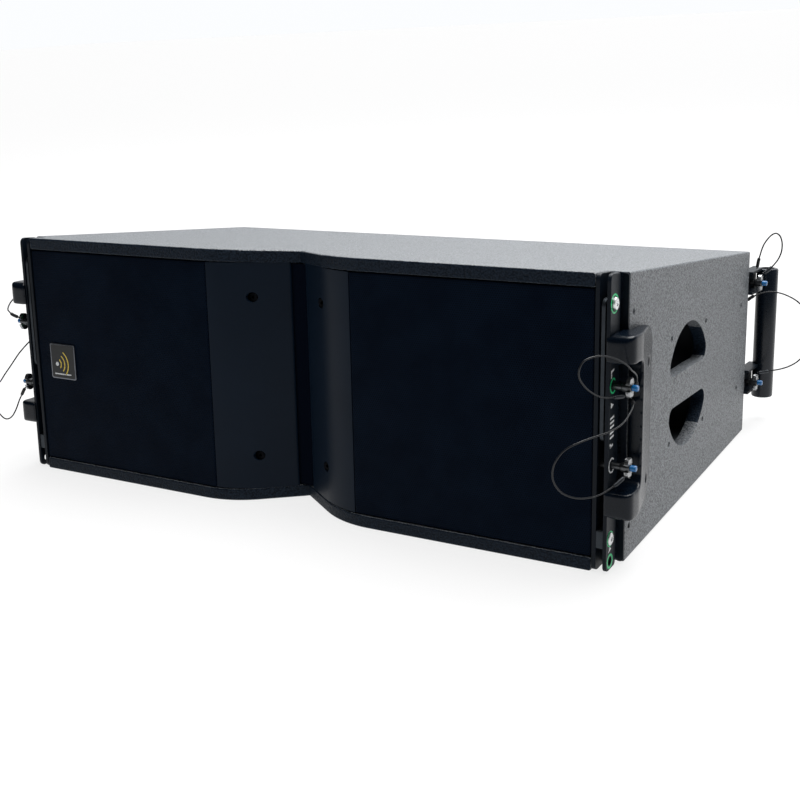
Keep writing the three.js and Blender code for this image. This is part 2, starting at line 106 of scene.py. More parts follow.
# ---- Materials ----
class Material:
    """A Principled material with short calls for its nodes. Its coordinates are the row frame's metres."""

    def __init__(self, name, color, roughness, metallic=0.0, specular=0.5):
        self.made = bpy.data.materials.new(name)
        self.made.use_nodes = True
        self.nodes = self.made.node_tree.nodes
        self.shader = self.nodes["Principled BSDF"]
        self.shader.inputs["Base Color"].default_value = (*color, 1)
        self.shader.inputs["Roughness"].default_value = roughness
        self.shader.inputs["Metallic"].default_value = metallic
        self.shader.inputs["Specular IOR Level"].default_value = specular
        self.place = self.nodes.new("ShaderNodeTexCoord").outputs["Object"]

    def link(self, output, target):
        self.made.node_tree.links.new(output, target)

    def noise(self, scale, detail=2.0, stretch=(1, 1, 1)):
        mapping = self.nodes.new("ShaderNodeMapping")
        mapping.inputs["Scale"].default_value = stretch
        self.link(self.place, mapping.inputs["Vector"])
        node = self.nodes.new("ShaderNodeTexNoise")
        node.inputs["Scale"].default_value = scale
        node.inputs["Detail"].default_value = detail
        self.link(mapping.outputs["Vector"], node.inputs["Vector"])
        return node.outputs["Fac"]

    def grains(self, scale):
        """Rounded grains: the distance to each one's middle."""
        node = self.nodes.new("ShaderNodeTexVoronoi")
        node.feature = "SMOOTH_F1"
        node.inputs["Scale"].default_value = scale
        self.link(self.place, node.inputs["Vector"])
        return node.outputs["Distance"]

    def ramp(self, value, low, high, from_value=0.0, to_value=1.0):
        node = self.nodes.new("ShaderNodeMapRange")
        node.inputs["From Min"].default_value = low
        node.inputs["From Max"].default_value = high
        node.inputs["To Min"].default_value = from_value
        node.inputs["To Max"].default_value = to_value
        self.link(value, node.inputs["Value"])
        return node.outputs["Result"]

    def math(self, operation, first, second):
        node = self.nodes.new("ShaderNodeMath")
        node.operation = operation
        for socket, value in zip(node.inputs, (first, second)):
            if isinstance(value, (int, float)):
                socket.default_value = value
            else:
                self.link(value, socket)
        return node.outputs["Value"]

    def mix(self, factor, first, second):
        """A colour socket between two colours, each a tuple or another socket."""
        node = self.nodes.new("ShaderNodeMix")
        node.data_type = "RGBA"
        self.link(factor, node.inputs["Factor"])
        colour_sockets = [s for s in node.inputs if s.type == "RGBA"]
        for socket, value in zip(colour_sockets, (first, second)):
            if isinstance(value, tuple):
                socket.default_value = (*value, 1)
            else:
                self.link(value, socket)
        return next(s for s in node.outputs if s.type == "RGBA")

    def color(self, socket):
        self.link(socket, self.shader.inputs["Base Color"])

    def rough(self, value, low, high):
        self.link(self.ramp(value, 0.3, 0.7, low, high), self.shader.inputs["Roughness"])

    def bump(self, height, strength, distance):
        node = self.nodes.new("ShaderNodeBump")
        node.inputs["Strength"].default_value = strength
        node.inputs["Distance"].default_value = distance
        self.link(height, node.inputs["Height"])
        self.link(node.outputs["Normal"], self.shader.inputs["Normal"])


def coating(name, dark, light, specular=0.5):
    """Sprayed polyurea: fused grains 1 to 2 mm across, pale where they stand proud and dark between them:
    painted highlight on the grains' tops and painted shade in their hollows.
    """
    m = Material(name, light, 0.5, 0.0, specular)
    grain = m.grains(620)
    coarse = m.noise(430, 3)
    height = m.math("ADD", m.math("MULTIPLY", grain, -0.8), m.math("MULTIPLY", coarse, 0.9))
    # Painted highlight and shade: the colour follows the grains' height, pale on their tops and dark in the
    # hollows.
    grain_light_and_shade = m.ramp(height, -0.05, 0.24)
    patches = m.ramp(m.noise(9, 4), 0.35, 0.65, 0.0, 0.3)
    middle = tuple(0.5 * (a + b) for a, b in zip(dark, light))
    m.color(m.mix(patches, m.mix(grain_light_and_shade, dark, light), middle))
    m.rough(coarse, 0.34, 0.6)
    m.bump(height, 0.8, 0.0009)
    return m.made


def powder_coat(name, color, roughness=0.42, specular=0.4):
    m = Material(name, color, roughness, 0.0, specular)
    fine = m.noise(900, 2)
    brighter = tuple(1.25 * c for c in color)
    m.color(m.mix(m.ramp(m.noise(14, 3), 0.35, 0.65), color, brighter))
    m.rough(fine, roughness - 0.06, roughness + 0.08)
    m.bump(fine, 0.12, 0.0003)
    return m.made


def moulding(name, color, roughness=0.4, specular=0.5):
    """Moulded plastic with a fine spark-eroded texture."""
    m = Material(name, color, roughness, 0.0, specular)
    texture = m.noise(1300, 2)
    m.rough(texture, roughness - 0.05, roughness + 0.08)
    m.color(m.mix(m.ramp(m.noise(25, 3), 0.3, 0.7), color, tuple(1.2 * c for c in color)))
    m.bump(texture, 0.15, 0.0002)
    return m.made


def bright_metal(name, color, roughness, stretch=(1, 1, 30)):
    m = Material(name, color, roughness, 1.0)
    brushed = m.noise(180, 3, stretch)
    m.rough(brushed, roughness - 0.08, roughness + 0.12)
    m.color(m.mix(m.ramp(m.noise(60, 3), 0.3, 0.7), color, tuple(0.8 * c for c in color)))
    m.bump(brushed, 0.08, 0.0002)
    return m.made


def plain(name, color, roughness=0.5, specular=0.5):
    m = Material(name, color, roughness, 0.0, specular)
    m.color(m.mix(m.ramp(m.noise(200, 3), 0.3, 0.7), color, tuple(0.82 * c for c in color)))
    return m.made


def perforated():
    """Sheet with staggered round holes over dark fabric, in rows half a pitch apart."""
    m = Material("perforated_sheet", (0.0016, 0.0048, 0.0115), 0.6, 0.0, 0.03)
    split = m.nodes.new("ShaderNodeSeparateXYZ")
    m.link(m.place, split.inputs["Vector"])
    pitch = 0.0026
    across = m.math("DIVIDE", split.outputs["X"], pitch)
    up = m.math("DIVIDE", split.outputs["Z"], pitch * math.sqrt(3))
    distances = []
    for shift in (0.0, 0.5):
        x = m.math("SUBTRACT", m.math("FRACT", m.math("ADD", across, shift), 0.0), 0.5)
        z = m.math("SUBTRACT", m.math("FRACT", m.math("ADD", up, shift), 0.0), 0.5)
        tall = m.math("MULTIPLY", z, math.sqrt(3))
        squares = m.math("ADD", m.math("MULTIPLY", x, x), m.math("MULTIPLY", tall, tall))
        distances.append(m.math("SQRT", squares, 0.0))
    solid = m.ramp(m.math("MINIMUM", *distances), 0.24, 0.36)
    weave = m.ramp(m.noise(26, 3), 0.35, 0.65)
    paint = m.mix(weave, (0.0012, 0.0046, 0.0125), (0.0028, 0.0078, 0.0185))
    m.color(m.mix(solid, (0.0004, 0.0014, 0.004), paint))
    m.bump(solid, 0.4, 0.0005)
    return m.made


def slot_shade():
    """A thin near-black sheet with a fine plain weave that reflects almost nothing: painted shade for the
    slot between the fins.
    """
    m = Material("slot_shade_material", (0.001, 0.0025, 0.007), 0.95, 0.0, 0.04)
    weave = m.math("MULTIPLY", m.noise(900, 1, (4, 1, 1)), m.noise(900, 1, (1, 1, 4)))
    m.color(m.mix(m.ramp(weave, 0.1, 0.5), (0.0006, 0.0018, 0.0055), (0.0015, 0.0038, 0.01)))
    m.bump(weave, 0.4, 0.0002)
    return m.made


def fin_coat():
    m = Material("fin_coat", (0.003, 0.0085, 0.018), 0.36, 0.0, 0.09)
    fine = m.noise(1100, 2)
    m.color(m.mix(m.ramp(m.noise(10, 3), 0.35, 0.65), (0.0026, 0.0076, 0.0165), (0.0038, 0.0098, 0.0205)))
    m.rough(fine, 0.32, 0.44)
    m.bump(fine, 0.12, 0.0002)
    return m.made


def make_materials():
    return {
        "coating": coating("cabinet_coating", (0.02, 0.026, 0.032), (0.18, 0.192, 0.206)),
        # Painted shade: the same coating made far darker, for the forward-facing lips that stand in less
        # light.
        "lip_painted_shade_coating": coating("lip_painted_shade_coating", (0.001, 0.004, 0.009), (0.011, 0.019, 0.032), 0.1),
        "perforated": perforated(),
        "fin": fin_coat(),
        "black_steel": powder_coat("black_steel", (0.0024, 0.0052, 0.0095), 0.4, 0.14),
        "guard": moulding("guard_moulding", (0.0014, 0.0038, 0.008), 0.22, 0.2),
        "pocket": moulding("pocket_moulding", (0.02, 0.023, 0.027), 0.5, 0.3),
        "link": bright_metal("link_steel", (0.045, 0.052, 0.06), 0.42),
        "pin": bright_metal("pin_steel", (0.34, 0.35, 0.36), 0.28),
        "shaft": bright_metal("pin_shaft", (0.1, 0.105, 0.11), 0.34),
        "bolt": bright_metal("bolt_zinc", (0.72, 0.73, 0.74), 0.32, (1, 1, 1)),
        "screw": powder_coat("black_screw", (0.004, 0.005, 0.006), 0.35, 0.3),
        "dark_screw": powder_coat("dark_screw", (0.0006, 0.001, 0.0022), 0.6, 0.06),
        "grip": powder_coat("grip_anodised", (0.0035, 0.0065, 0.0115), 0.26, 0.3),
        "wire": plain("lanyard_wire", (0.006, 0.0075, 0.01), 0.38, 0.3),
        "crimp": bright_metal("crimp_alloy", (0.05, 0.054, 0.06), 0.4, (1, 1, 1)),
        "dark_crimp": plain("dark_crimp", (0.01, 0.011, 0.013), 0.45, 0.3),
        "blue": plain("blue_button", (0.006, 0.125, 0.34), 0.25),
        "green": plain("green_ring", (0.01, 0.55, 0.19), 0.4),
        "white": plain("white_print", (0.72, 0.74, 0.75), 0.55),
        "yellow": plain("yellow_print", (0.75, 0.55, 0.06), 0.5),
        "badge": bright_metal("badge_metal", (0.16, 0.17, 0.19), 0.38, (1, 1, 1)),
        "cone": moulding("cone_paper", (0.006, 0.007, 0.009), 0.7, 0.2),
        "casting": powder_coat("driver_casting", (0.012, 0.013, 0.015), 0.5),
        "board": powder_coat("inner_board", (0.004, 0.005, 0.007), 0.7, 0.1),
        # Painted shade: a near-black sheet standing in for the shade deep in the slot between the fins.
        "slot_shade": slot_shade(),
        "nylon": moulding("connector_nylon", (0.003, 0.005, 0.009), 0.4, 0.2),
    }


# ---- Mesh tools ----
def rounded(corners, steps=8):
    """Points of a closed outline from corners (a, b, radius), each rounded by an arc-like curve."""
    points = []
    for i, (a, b, *rest) in enumerate(corners):
        radius = rest[0] if rest else 0
        corner = Vector((a, b))
        if radius == 0:
            points.append(corner)
            continue
        before = Vector(corners[i - 1][:2])
        after = Vector(corners[(i + 1) % len(corners)][:2])
        start = corner + (before - corner).normalized() * radius
        end = corner + (after - corner).normalized() * radius
        for k in range(steps + 1):
            t = k / steps
            points.append((1 - t) ** 2 * start + 2 * t * (1 - t) * corner + t * t * end)
    return points


def rectangle(a0, b0, a1, b1, radius=0):
    return [(a0, b0, radius), (a1, b0, radius), (a1, b1, radius), (a0, b1, radius)]


def circle(a, b, radius, steps=48):
    turns = (2 * math.pi * k / steps for k in range(steps))
    return [Vector((a + radius * math.cos(t), b + radius * math.sin(t))) for t in turns]


PLACES = {
    "X": lambda a, b, h: (h, a, b),  # an outline (y, z) run along X
    "Y": lambda a, b, h: (a, h, b),  # an outline (x, z) run along Y
    "Z": lambda a, b, h: (a, b, h),  # an outline (x, y) run up Z
}


def add_prism(bm, points, axis, low, high):
    place = PLACES[axis]
    ends = [[bm.verts.new(place(*p[:2], h)) for p in points] for h in (low, high)]
    faces = [bm.faces.new(ends[0]), bm.faces.new(ends[1])]
    count = len(points)
    for i in range(count):
        j = (i + 1) % count
        faces.append(bm.faces.new((ends[0][i], ends[0][j], ends[1][j], ends[1][i])))
    bmesh.ops.recalc_face_normals(bm, faces=faces)
    return bm


def prism(points, axis, low, high):
    return add_prism(bmesh.new(), points, axis, low, high)


def add_turned(bm, profile, centre, axis, sides=40):
    """A (radius, along) profile turned about the axis through centre. Points of radius 0 close its ends."""
    place = PLACES[axis]
    x, y, z = centre
    a0, b0, h0 = {"X": (y, z, x), "Y": (x, z, y), "Z": (x, y, z)}[axis]
    rings = []
    for radius, along in profile:
        if radius == 0:
            rings.append([bm.verts.new(place(a0, b0, h0 + along))])
            continue
        rings.append([bm.verts.new(place(*p, h0 + along)) for p in circle(a0, b0, radius, sides)])
    faces = []
    for lower, upper in pairwise(rings):
        for k in range(sides):
            n = (k + 1) % sides
            corners = [(lower, k), (lower, n), (upper, n), (upper, k)]
            distinct = list(dict.fromkeys(ring[i % len(ring)] for ring, i in corners))
            if len(distinct) > 2:
                faces.append(bm.faces.new(distinct))
    bmesh.ops.recalc_face_normals(bm, faces=faces)
    return bm


def turned(profile, centre, axis, sides=40):
    return add_turned(bmesh.new(), profile, centre, axis, sides)


def add_rod(bm, radius, axis, centre, low, high, sides=40):
    return add_turned(bm, [(0, low), (radius, low), (radius, high), (0, high)], centre, axis, sides)


def add_arc(bm, centre, radius, width, start, end, axis, depths, steps=24):
    """A flat stretch of a ring, from angle start to end in radians, or the whole ring."""
    place = PLACES[axis]
    low, high = depths
    inner, outer = radius - width / 2, radius + width / 2
    whole = end - start > 2 * math.pi - 0.001
    stations = []
    for k in range(steps if whole else steps + 1):
        turn = start + (end - start) * k / steps
        east, north = math.cos(turn), math.sin(turn)
        section = ((inner, low), (outer, low), (outer, high), (inner, high))
        points = [place(centre[0] + r * east, centre[1] + r * north, h) for r, h in section]
        stations.append([bm.verts.new(point) for point in points])
    faces = [] if whole else [bm.faces.new(stations[0]), bm.faces.new(stations[-1])]
    following = stations[1:] + stations[:1] if whole else stations[1:]
    for here, there in zip(stations, following):
        for i in range(4):
            j = (i + 1) % 4
            faces.append(bm.faces.new((here[i], here[j], there[j], there[i])))
    bmesh.ops.recalc_face_normals(bm, faces=faces)
    return bm


def bevel_edges(bm, width, segments=3, limit=30):
    """Rounds every edge that is sharper than the limit, in degrees."""
    sharp = [e for e in bm.edges if e.is_manifold and e.calc_face_angle(0) > math.radians(limit)]
    bmesh.ops.bevel(
        bm, geom=sharp, offset=width, segments=segments, profile=0.5, affect="EDGES", clamp_overlap=True
    )
    return bm


def shade(mesh, limit=32):
    """Smooth shading, but for edges sharper than the limit, in degrees."""
    bm = bmesh.new()
    bm.from_mesh(mesh)
    for face in bm.faces:
        face.smooth = True
    for edge in bm.edges:
        edge.smooth = not edge.is_manifold or edge.calc_face_angle(0) < math.radians(limit)
    bm.to_mesh(mesh)
    bm.free()


def new_object(name, bm, material, side=1):
    """An object from a bmesh in the cabinet's millimetres, mirrored for the left side."""
    if side < 0:
        bmesh.ops.scale(bm, vec=(-1, 1, 1), verts=bm.verts)
        bmesh.ops.reverse_faces(bm, faces=bm.faces)
    mesh = bpy.data.meshes.new(name)
    bm.to_mesh(mesh)
    bm.free()
    mesh.transform(CABINET)
    mesh.materials.append(material)
    made = bpy.data.objects.new(name, mesh)
    bpy.context.scene.collection.objects.link(made)
    shade(mesh)
    return made


def piece(name, bm, material, body="root", side=1, replaces=()):
    made = new_object(name, bm, material, side)
    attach(made, body)
    if replaces:
        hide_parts(*replaces)
    return made


def bake(obj):
    """Applies the object's modifiers to its mesh."""
    depsgraph = bpy.context.evaluated_depsgraph_get()
    mesh = bpy.data.meshes.new_from_object(obj.evaluated_get(depsgraph))
    obj.modifiers.clear()
    obj.data = mesh
    return obj


def carve(obj, cutter, side=1, edge=0.0, segments=2):
    """Cuts a bmesh in millimetres out of an object, then rounds the edges that are still sharp."""
    tool = new_object("cutter", cutter, obj.data.materials[0], side)
    boolean = obj.modifiers.new("cut", "BOOLEAN")
    boolean.operation = "DIFFERENCE"
    boolean.solver = "EXACT"
    boolean.object = tool
    bake(obj)
    bpy.data.objects.remove(tool)
    if edge:
        bevel = obj.modifiers.new("edge", "BEVEL")
        bevel.width = edge * 0.001
        bevel.segments = segments
        bevel.limit_method = "ANGLE"
        bevel.angle_limit = math.radians(50)
        bake(obj)
    shade(obj.data)
    even_normals(obj)
    return obj


def melt(obj, voxel, rounds):
    """Rounds every edge as a mould does: an even mesh of voxel millimetres, smoothed and thinned out."""
    remesh = obj.modifiers.new("even", "REMESH")
    remesh.mode = "VOXEL"
    remesh.voxel_size = voxel * 0.001
    smooth = obj.modifiers.new("round", "SMOOTH")
    smooth.factor = 0.5
    smooth.iterations = rounds
    thin = obj.modifiers.new("thin", "DECIMATE")
    thin.ratio = 0.25
    bake(obj)
    for face in obj.data.polygons:
        face.use_smooth = True
    return obj


def even_normals(obj):
    """Lets the large faces round an edge set its shading, so that long thin ones don't show."""
    if "normals" not in obj.modifiers:
        obj.modifiers.new("normals", "WEIGHTED_NORMAL").keep_sharp = True


def soften(node, width, material, limit=32):
    """Rounds a CAD node's edges by modifiers alone, and gives it a finish."""
    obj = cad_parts[node]
    obj.data.materials.clear()
    obj.data.materials.append(material)
    weld = obj.modifiers.new("weld", "WELD")
    weld.merge_threshold = 0.00001
    flat = obj.modifiers.new("flat", "DECIMATE")
    flat.decimate_type = "DISSOLVE"
    flat.angle_limit = math.radians(1)
    bevel = obj.modifiers.new("edge", "BEVEL")
    bevel.width = width * 0.001
    bevel.segments = 3
    bevel.limit_method = "ANGLE"
    bevel.angle_limit = math.radians(limit)
    obj.data.polygons.foreach_set("use_smooth", [True] * len(obj.data.polygons))
    even_normals(obj)
    return obj


# ---- Camera, light and floor ----
CAMERA_PLACE = (806.1, -1070.6, 319.2)
CAMERA_HEADING, CAMERA_TILT, CAMERA_ROLL = 30.906, -13.085, 1.117  # degrees, from looking straight back


def make_camera():
    """Stands in front and to the right, above the top panel, and looks back and to the left."""
    data = bpy.data.cameras.new("camera")
    data.sensor_width = 36
    data.lens = 54.9
    data.shift_x = -0.0046
    data.shift_y = -0.031
    data.clip_start = 0.05
    camera = bpy.data.objects.new("camera", data)
    bpy.context.scene.collection.objects.link(camera)
    heading = Matrix.Rotation(math.radians(CAMERA_HEADING), 4, "Z")
    tilt = Matrix.Rotation(math.radians(90 + CAMERA_TILT), 4, "X")
    roll = Matrix.Rotation(math.radians(-CAMERA_ROLL), 4, "Z")
    turn = CABINET.to_3x3().normalized().to_4x4()
    camera.matrix_world = Matrix.Translation(to_row(CAMERA_PLACE)) @ turn @ heading @ tilt @ roll
    bpy.context.scene.camera = camera


def area_light(name, place, aim, size, power):
    data = bpy.data.lights.new(name, "AREA")
    data.shape = "RECTANGLE"
    data.size, data.size_y = size
    data.energy = power
    light = bpy.data.objects.new(name, data)
    bpy.context.scene.collection.objects.link(light)
    light.location = place
    light.rotation_euler = (Vector(aim) - Vector(place)).to_track_quat("-Z", "Y").to_euler()


def make_world(seen=1.0, front=0.02, back=1.1):
    """Pale where the camera sees it. As light it is bright behind the speaker and dim elsewhere."""
    world = bpy.data.worlds.new("studio")
    bpy.context.scene.world = world
    world.use_nodes = True
    nodes, links = world.node_tree.nodes, world.node_tree.links
    background = nodes["Background"]
    direction = nodes.new("ShaderNodeTexCoord").outputs["Generated"]
    split = nodes.new("ShaderNodeSeparateXYZ")
    links.new(direction, split.inputs["Vector"])
    depth = nodes.new("ShaderNodeMapRange")
    depth.interpolation_type = "SMOOTHSTEP"
    depth.inputs["From Min"].default_value = 0.3
    depth.inputs["From Max"].default_value = 0.95
    depth.inputs["To Min"].default_value = front
    depth.inputs["To Max"].default_value = back
    links.new(split.outputs["Y"], depth.inputs["Value"])
    choose = nodes.new("ShaderNodeMix")
    links.new(nodes.new("ShaderNodeLightPath").outputs["Is Camera Ray"], choose.inputs["Factor"])
    links.new(depth.outputs["Result"], choose.inputs["A"])
    choose.inputs["B"].default_value = seen
    background.inputs["Color"].default_value = (0.97, 0.985, 1.0, 1)
    links.new(choose.outputs["Result"], background.inputs["Strength"])


def make_floor():
    bm = bmesh.new()
    bmesh.ops.create_grid(bm, x_segments=8, y_segments=8, size=30)
    mesh = bpy.data.meshes.new("floor")
    bm.to_mesh(mesh)
    bm.free()
    m = Material("floor_paper", (0.16, 0.16, 0.16), 0.9, 0.0, 0.1)
    glow = m.nodes["Principled BSDF"].inputs
    glow["Emission Color"].default_value = (1, 1, 1, 1)
    glow["Emission Strength"].default_value = 0.78
    mesh.materials.append(m.made)
    floor = bpy.data.objects.new("floor", mesh)
    bpy.context.scene.collection.objects.link(floor)
    floor.location.z = -0.0005


def sun_light(name, direction, strength, softness):
    data = bpy.data.lights.new(name, "SUN")
    data.energy = strength
    data.angle = math.radians(softness)
    light = bpy.data.objects.new(name, data)
    bpy.context.scene.collection.objects.link(light)
    light.rotation_euler = Vector(direction).to_track_quat("-Z", "Y").to_euler()


def make_studio():
    bpy.context.scene.view_settings.view_transform = "Standard"
    make_world()
    make_floor()
    sun_light("ceiling", (-0.1, -0.12, -1), 3.0, 50)
    area_light("overhead", (0.2, 1.1, 2.6), (0, 0.1, 0.2), (3.0, 2.2), 130)
    area_light("right_side", (2.8, 0.5, 1.3), (0.4, 0, 0.15), (1.6, 1.6), 1)


# ---- Lanyards ----
WIRE_DIAMETER = 1.8
SLEEVE_LENGTH = 11
SLEEVE_RADIUS = 2.1
SLEEVE_START = 2  # points of the smoothed route left bare before a sleeve
LANYARDS = {
    "front_upper_right": [
        (408, 31.5, 30), (409, 29, 34), (411, 26, 41), (413.6, 20, 48.5), (415.2, 10, 54.5),
        (416, 2, 58), (416.2, -4, 61), (415.8, -9, 64.6), (413.6, -17, 70), (410.5, -25, 74.3),
        (406.5, -33, 77.8), (401.4, -44, 80.6), (396, -54, 80.3), (391, -60, 77), (388.1, -62, 69),
        (387.5, -58, 59.6), (390.6, -46, 47.8), (395.4, -28, 37.8), (401, -12, 34.2), (406, -3, 33.4),
        (409.5, 2.4, 33.4),
    ],
    "front_lower_right": [
        (405, 31.5, 22), (407, 27, 22.2), (410, 21, 22.2), (412.6, 14, 22.2), (415, 4, 20.6),
        (415.6, -6, 17), (414.6, -20, 11.9), (409, -36, 7.8), (400.6, -52, 5.8), (391.7, -66, 3),
        (380.4, -74, -3.8), (372.4, -76, -14.9), (368.1, -74, -26.7), (368, -70, -38.5), (372.7, -62, -50),
        (380.8, -50, -57.3), (388.3, -36, -60.3), (396, -22, -59.5), (403.5, -9, -54.2), (408, -2, -49.5),
        (410, 2.2, -46.5),
    ],
    "front_upper_left": [
        (-410, 2.4, 46), (-414, 1, 47.5), (-420, 0.5, 49.5), (-426.5, 2, 52), (-432.5, 5, 54),
        (-436.5, 10, 57.5), (-438.4, 16, 62), (-439.2, 23, 66), (-438, 32, 71), (-434, 42, 75),
        (-428, 54, 76), (-421, 66, 74), (-414, 78, 69), (-408, 90, 62), (-404, 99, 55),
        (-401.6, 106, 48),
    ],
    "front_lower_left": [
        (-410, 2.4, -46), (-413, 1.5, -50.5), (-417.5, 1.5, -57), (-423.5, 2, -65), (-429, 2, -74.5),
        (-434.5, 2, -82.6), (-441, 2, -89.5), (-448.7, 2, -93.4), (-457, 3, -93.6), (-464.5, 4, -90.2),
        (-473.5, 5, -83.8), (-481.6, 6, -75.6), (-485.5, 8, -66.5), (-484.5, 9, -59), (-478, 10.5, -52),
        (-469.1, 12, -47.2), (-461, 14.5, -36.5), (-452.8, 17, -26.2), (-445, 20, -15.5), (-437.9, 23, -6),
        (-424.5, 28, 8), (-414, 31, 15.5), (-407, 31.5, 19.5),
    ],
    "rear_upper_right": [
        (402.4, 484, 91.3), (403.2, 484, 96), (404.2, 483.5, 102), (406, 483.5, 109.5), (408, 484, 117.5),
        (410.6, 486, 124.5), (415.5, 488, 131.8), (420, 489, 135.6), (424, 489.5, 136.2), (428, 490, 133),
        (430.4, 490, 127), (431.4, 489, 120.5), (430.9, 488, 113), (428.4, 486, 105), (424.6, 483, 98.5),
        (420, 480.5, 92.8), (415.6, 478, 88.5), (412, 476, 86.8),
    ],
    "rear_upper_left": [
        (-402.4, 484, 91.3), (-403.5, 484.5, 94.5), (-406.5, 486, 98), (-411.5, 488.5, 101),
        (-418, 491, 103), (-425, 493, 103.2), (-431.5, 494, 100.5), (-435.5, 493.5, 95.5),
        (-436.5, 492, 90), (-434.5, 489.5, 86),
        (-430, 486.5, 84.5), (-425, 483.5, 85.2), (-420, 480.5, 86.3), (-415.6, 478, 87), (-412, 476, 86.8),
    ],
    "rear_lower_right": [
        (396, 466, 52), (398, 471, 54), (400.5, 476, 56), (404.6, 481, 58), (409, 484, 60),
        (413.8, 486, 61.4), (419.5, 488, 62), (426, 489, 61.8), (435, 490, 60), (444.5, 490, 56.6),
        (453, 490, 52), (461.5, 490, 44.5), (468, 490, 35), (472.5, 490, 24), (473.5, 490, 11),
        (471, 489, -2.5), (466, 487.5, -15), (459, 486, -24.5), (449, 484, -31.6), (438.3, 482, -36),
        (428, 480, -38.5), (420, 478, -40.5), (415, 476.5, -41.6), (411.5, 475, -41.8),
    ],
}
LANYARDS["rear_lower_left"] = [(-x, y, z) for x, y, z in LANYARDS["rear_lower_right"]]


def smooth_route(points, steps=5):
    """Points along a Catmull-Rom curve through the given ones."""
    route = [Vector(p) for p in points]
    padded = [2 * route[0] - route[1], *route, 2 * route[-1] - route[-2]]
    fine = []
    for i in range(1, len(padded) - 2):
        before, start, end, after = padded[i - 1 : i + 3]
        for k in range(steps):
            t = k / steps
            along = end - before
            ahead = after - start
            blend = (2 * start - 2 * end + 0.5 * along + 0.5 * ahead) * t**3
            blend += (-3 * start + 3 * end - along - 0.5 * ahead) * t**2
            fine.append(blend + 0.5 * along * t + start)
    fine.append(route[-1])
    return fine


def tube(points, radii, sides=12):
    """A closed tube along points, with a radius at each."""
    bm = bmesh.new()
    normal = Vector((0, 0, 1))
    rings = []
    for i, (point, radius) in enumerate(zip(points, radii)):
        tangent = (points[min(i + 1, len(points) - 1)] - points[max(i - 1, 0)]).normalized()
        normal = (normal - tangent * normal.dot(tangent)).normalized()
        other = tangent.cross(normal)
        ring = []
        for k in range(sides):
            turn = 2 * math.pi * k / sides
            ring.append(bm.verts.new(point + radius * (normal * math.cos(turn) + other * math.sin(turn))))
        rings.append(ring)
    for lower, upper in pairwise(rings):
        for k in range(sides):
            n = (k + 1) % sides
            bm.faces.new((lower[k], lower[n], upper[n], upper[k]))
    bm.faces.new(reversed(rings[0]))
    bm.faces.new(rings[-1])
    bmesh.ops.recalc_face_normals(bm, faces=bm.faces)
    return bm


def crimp(name, route, material, body):
    """A sleeve squeezed round the wire, a little way along its route, with softened ends."""
    stretch = [route[SLEEVE_START]]
    travelled = 0.0
    for start, end in pairwise(route[SLEEVE_START:]):
        travelled += (end - start).length
        stretch.append(end)
        if travelled > SLEEVE_LENGTH:
            break
    ends = (0, len(stretch) - 1)
    radii = [SLEEVE_RADIUS * (0.75 if i in ends else 1) for i in range(len(stretch))]
    made = new_object(name, tube(stretch, radii, 16), material)
    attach(made, body)
    return made


def lanyard(name, points, pin_first, finishes):
    """A wire from its anchor on the cabinet to the head of its pin, with a crimped sleeve near each end."""
    end, level, side = name.split("_")
    pin_body = f"{end}_{level}_pin_{side}"
    route = smooth_route(points)
    shape = tube(route, [WIRE_DIAMETER / 2] * len(route))
    wire = new_object(f"{end}_{level}_wire_{side}", shape, finishes["wire"])
    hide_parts(f"{end}_{level}_lanyard_{side}")
    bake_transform(wire)
    first_body, last_body = (pin_body, "root") if pin_first else ("root", pin_body)
    sleeves = [
        crimp(f"{end}_{level}_sleeve_a_{side}", route, finishes["dark_crimp"], first_body),
        crimp(f"{end}_{level}_sleeve_b_{side}", route[::-1], finishes["crimp"], last_body),
    ]


def make_lanyards(finishes):
    for name, points in LANYARDS.items():
        pin_first = name.startswith("front") and name.endswith("left")
        lanyard(name, points, pin_first, finishes)


# ---- Cabinet ----
def front_depth(x):
    """Depth of the front at x: flat, then a bend, then a straight slope down to the centre."""
    inward = max(VEE_HALF_WIDTH - abs(x), 0.0)
    bend_end = VEE_RADIUS * math.sin(math.atan(VEE_SLOPE))
    bent = min(inward, bend_end)
    return VEE_RADIUS - math.sqrt(VEE_RADIUS**2 - bent**2) + VEE_SLOPE * (inward - bent)


def front_line(x0, x1, offset, steps):
    stations = (x0 + (x1 - x0) * i / steps for i in range(steps + 1))
    return [(x, front_depth(x) + offset) for x in stations]


def taper(bm, margin=0.0):
    """Moves each vertex of a prism that stands 1 high on each side of Z = 0 to the wedge's top or bottom."""
    for v in bm.verts:
        v.co.z = math.copysign(roof(v.co.y) - margin, v.co.z)
    return bm


def paint_front_shade(cabinet, material):
    """Gives the faces that look forward, the boards' front edges, a much darker copy of the coating: painted
    shade, since these faces get less light than the rest of the cabinet.
    """
    cabinet.data.materials.append(material)
    back = CABINET.to_3x3() @ Vector((0, 1, 0))
    for face in cabinet.data.polygons:
        if face.normal.dot(back.normalized()) < -0.6:
            face.material_index = 1


HANDLE = {"y": 223, "z": -2.5, "radius": 70, "bar": 17.5, "corner": 12}


def hand_hole(sign):
    """The upper or lower segment of one circle, cut off by a straight bar, with rounded corners."""
    y, z, radius, bar, corner = HANDLE.values()
    reach = math.sqrt((radius - corner) ** 2 - (bar + corner) ** 2)
    tangent = math.atan2(bar + corner, reach)
    arcs = [
        (reach, bar + corner, corner, -math.pi / 2, tangent),
        (0, 0, radius, tangent, math.pi - tangent),
        (-reach, bar + corner, corner, math.pi - tangent, 1.5 * math.pi),
    ]
    points = []
    for across, up, arc_radius, start, end in arcs:
        for k in range(17):
            turn = start + (end - start) * k / 16
            point = (across + arc_radius * math.cos(turn), up + arc_radius * math.sin(turn))
            points.append(Vector((y + point[0], z + sign * point[1])))
    return points


SIDE_SCREWS = [(45, 107), (45, -112), (163, 58), (163, -58), (282, 58), (282, -58), (426, 53), (420, -51)]


